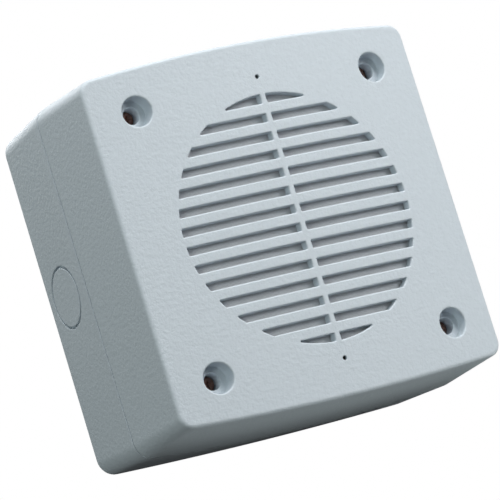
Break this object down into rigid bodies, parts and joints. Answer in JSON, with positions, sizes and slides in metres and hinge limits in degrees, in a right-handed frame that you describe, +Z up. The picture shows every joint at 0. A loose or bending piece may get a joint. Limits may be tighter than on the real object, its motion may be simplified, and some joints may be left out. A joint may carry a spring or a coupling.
{
  "type": "alarm siren",
  "caption": "Square two-part plastic wall housing with a louvred round grille over a loudspeaker, sunk cover screws, a driver board and a tamper switch.",
  "frame": {"origin": "centre of the flat rear face that lies against the wall", "axes": "+X to the right of someone facing the siren, +Y from the louvred front into the wall, +Z up"},
  "size_m": [0.1164, 0.0664, 0.1174],
  "materials": {
    "housing_plastic": "moulded with a fine spark-eroded texture",
    "grille_cloth": "woven acoustic cloth",
    "foam": "closed-cell foam strip",
    "surround_rubber": "smooth moulded roll",
    "cone_paper": "pressed paper pulp",
    "pressed_steel": "pressed sheet, zinc plated",
    "zinc_steel": "bright zinc plated",
    "bronzed_steel": "dark bronze passivated",
    "ferrite": "ground ferrite",
    "copper": "enamelled copper winding",
    "phenolic": "punched phenolic paper board",
    "tinned_brass": "tinned",
    "red_pvc": "extruded insulation",
    "black_pvc": "extruded insulation",
    "board_green": "solder resist over glass laminate",
    "black_epoxy": "moulded epoxy",
    "capacitor_sleeve": "shrunk sleeve",
    "resistor_body": "dipped coating",
    "terminal_green": "moulded",
    "plunger_red": "moulded",
    "spring_steel": "drawn wire",
    "spider_cloth": "resin-dipped woven cloth"
  },
  "bodies": {
    "housing": {"front_cover": "housing_plastic", "rear_base": "housing_plastic", "grille_cloth": "grille_cloth", "cover_screw_1": "bronzed_steel", "cover_screw_2": "bronzed_steel", "cover_screw_3": "bronzed_steel", "cover_screw_4": "bronzed_steel", "speaker_gasket": "foam", "speaker_surround": "surround_rubber", "speaker_basket": "pressed_steel", "speaker_spider": "spider_cloth", "top_plate": "zinc_steel", "magnet_ring": "ferrite", "pole_yoke": "zinc_steel", "speaker_clamp_1": "zinc_steel", "clamp_screw_1": "zinc_steel", "speaker_clamp_2": "zinc_steel", "clamp_screw_2": "zinc_steel", "speaker_clamp_3": "zinc_steel", "clamp_screw_3": "zinc_steel", "speaker_clamp_4": "zinc_steel", "clamp_screw_4": "zinc_steel", "speaker_tag_board": "phenolic", "speaker_tag_1": "tinned_brass", "speaker_tag_2": "tinned_brass", "speaker_lead_red": "red_pvc", "speaker_lead_black": "black_pvc", "driver_board": "board_green", "tone_chip": "black_epoxy", "power_transistor_1": "black_epoxy", "power_transistor_2": "black_epoxy", "reservoir_capacitor": "capacitor_sleeve", "coupling_capacitor": "capacitor_sleeve", "resistor_1": "resistor_body", "resistor_2": "resistor_body", "resistor_3": "resistor_body", "terminal_block": "terminal_green", "terminal_screw_1": "zinc_steel", "terminal_screw_2": "zinc_steel", "terminal_screw_3": "zinc_steel", "terminal_screw_4": "zinc_steel", "board_screw_1": "zinc_steel", "board_screw_2": "zinc_steel", "board_screw_3": "zinc_steel", "board_screw_4": "zinc_steel", "tamper_switch": "black_epoxy", "tamper_spring": "spring_steel"},
    "cone": {"speaker_cone": "cone_paper", "speaker_dust_cap": "cone_paper", "voice_coil": "copper"},
    "tamper": {"tamper_plunger": "plunger_red"}
  },
  "joints": [
    {"name": "cone_travel", "type": "slide", "parent": "housing", "child": "cone", "axis": [0, 1, 0], "range_m": [-0.0008, 0.0008], "stiffness_N_per_m": 3000},
    {"name": "tamper_travel", "type": "slide", "parent": "housing", "child": "tamper", "axis": [0, 1, 0], "range_m": [0, 0.0006], "stiffness_N_per_m": 400, "deforming": ["tamper_spring"]}
  ]
}
